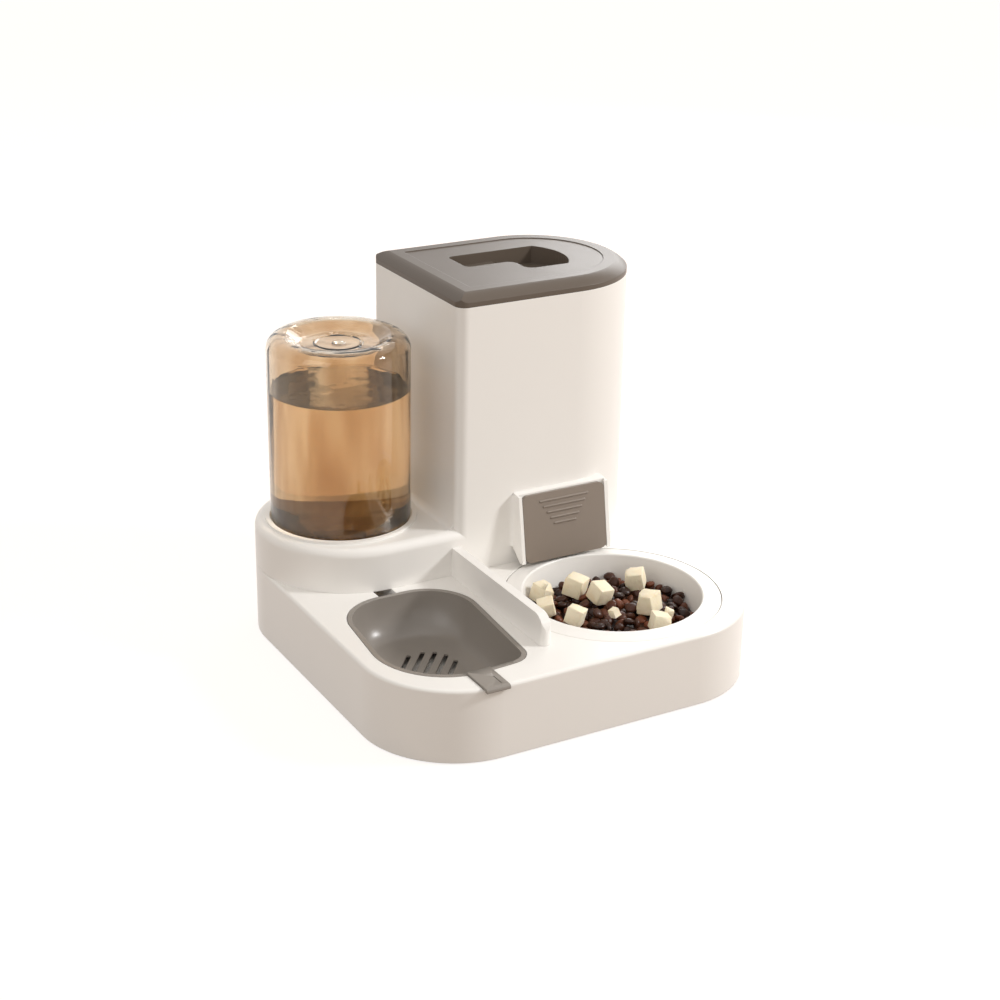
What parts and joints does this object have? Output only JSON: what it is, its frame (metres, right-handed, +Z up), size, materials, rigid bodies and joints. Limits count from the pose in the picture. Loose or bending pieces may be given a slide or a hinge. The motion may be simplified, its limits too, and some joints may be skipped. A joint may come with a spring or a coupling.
{
  "type": "pet feeder",
  "caption": "Gravity pet feeder with a lidded food tower and sliding gate, a round food bowl, an inverted water bottle and a lift-out water tray on one base.",
  "frame": {"origin": "on the floor, under the middle of the overall bounding box", "axes": "+Z up, -Y towards the pet (the bowls' side), +X towards the food bowl's side"},
  "size_m": [0.3, 0.311, 0.2695],
  "materials": {
    "white_plastic": "semi-gloss moulded plastic, warm white",
    "taupe_plastic": "satin moulded plastic, warm grey",
    "grey_plastic": "satin moulded plastic, grey",
    "clear_plastic": "clear blown plastic",
    "water": "clear liquid",
    "soft_seal": "soft translucent silicone",
    "dark_rubber": "matt rubber",
    "steel": "bright steel",
    "kibble": "dry brown kibble",
    "treat": "dry pale treats"
  },
  "bodies": {
    "stand": {"base_shell": "white_plastic", "upper_body": "white_plastic", "hopper_ramp": "white_plastic", "food_bowl": "white_plastic", "water_tray": "grey_plastic", "bottle": "clear_plastic", "bottle_water": "water", "bottle_cap": "white_plastic", "cap_gasket": "soft_seal", "valve_spring": "steel", "rubber_foot_1": "dark_rubber", "rubber_foot_2": "dark_rubber", "rubber_foot_3": "dark_rubber", "rubber_foot_4": "dark_rubber", "body_screws": "steel", "kibble_heap": "kibble", "treat_cubes": "treat"},
    "lid_group": {"lid": "taupe_plastic", "lid_plug": "taupe_plastic", "lid_seal": "soft_seal"},
    "gate_group": {"outlet_gate": "taupe_plastic"},
    "plunger_group": {"valve_plunger": "white_plastic", "valve_seal": "soft_seal"}
  },
  "joints": [
    {"name": "lid_lift", "type": "slide", "parent": "stand", "child": "lid_group", "axis": [0, 0, 1], "range_m": [0, 0.04]},
    {"name": "gate_slide", "type": "slide", "parent": "stand", "child": "gate_group", "axis": [0, 0.159, 0.9873], "range_m": [0, 0.025]},
    {"name": "plunger_press", "type": "slide", "parent": "stand", "child": "plunger_group", "axis": [0, 0, 1], "range_m": [0, 0.0015], "stiffness_N_per_m": 150, "springref_m": -0.008, "deforming": ["valve_spring"]}
  ]
}
